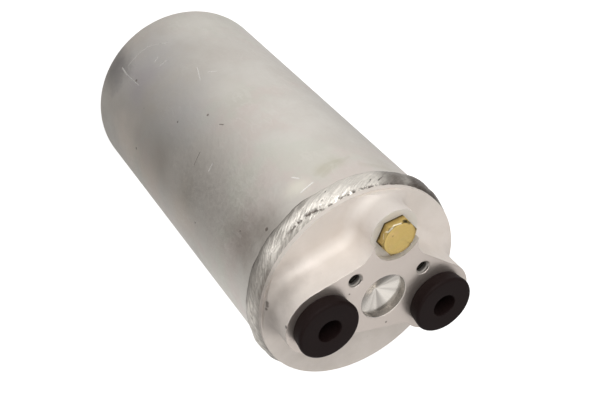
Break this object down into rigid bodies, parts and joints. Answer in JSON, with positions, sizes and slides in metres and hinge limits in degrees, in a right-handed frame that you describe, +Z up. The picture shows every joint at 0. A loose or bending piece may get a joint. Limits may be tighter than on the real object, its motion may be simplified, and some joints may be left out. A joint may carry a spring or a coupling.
{
  "type": "receiver drier",
  "caption": "Cylindrical aluminium can on its rounded closed end, with a welded header that carries a raised port pad, capped ports, screw holes and a hexagon plug.",
  "frame": {"origin": "middle of the can's flat bottom, on its outside", "axes": "+Z up the can's axis to the header, +X from the inlet port to the outlet port, +Y towards the switch port"},
  "size_m": [0.0924, 0.0924, 0.1992],
  "materials": {
    "can_aluminium": "satin, lightly scratched and stained",
    "header_aluminium": "fine machined",
    "weld_aluminium": "rippled weld metal",
    "cap_rubber": "smooth moulded",
    "plug_steel": "yellow passivated",
    "seal_rubber": "smooth",
    "tube_aluminium": "drawn",
    "plate_steel": "pressed sheet",
    "filter_felt": "pressed felt",
    "desiccant": "packed beads",
    "spring_steel": "drawn wire",
    "strainer_plastic": "moulded",
    "strainer_mesh": "woven"
  },
  "bodies": {
    "root": {"can": "can_aluminium", "header": "header_aluminium", "weld_bead": "weld_aluminium", "inlet_port_cap": "cap_rubber", "outlet_port_cap": "cap_rubber", "switch_port_plug": "plug_steel", "switch_plug_o_ring": "seal_rubber", "pickup_tube": "tube_aluminium", "tube_o_ring": "seal_rubber", "lower_plate": "plate_steel", "upper_plate": "plate_steel", "lower_tube_grommet": "seal_rubber", "upper_tube_grommet": "seal_rubber", "lower_filter_pad": "filter_felt", "upper_filter_pad": "filter_felt", "desiccant_bed": "desiccant", "compression_spring": "spring_steel", "strainer_cage": "strainer_plastic", "strainer_mesh": "strainer_mesh", "strainer_cap": "strainer_plastic"}
  },
  "joints": []
}
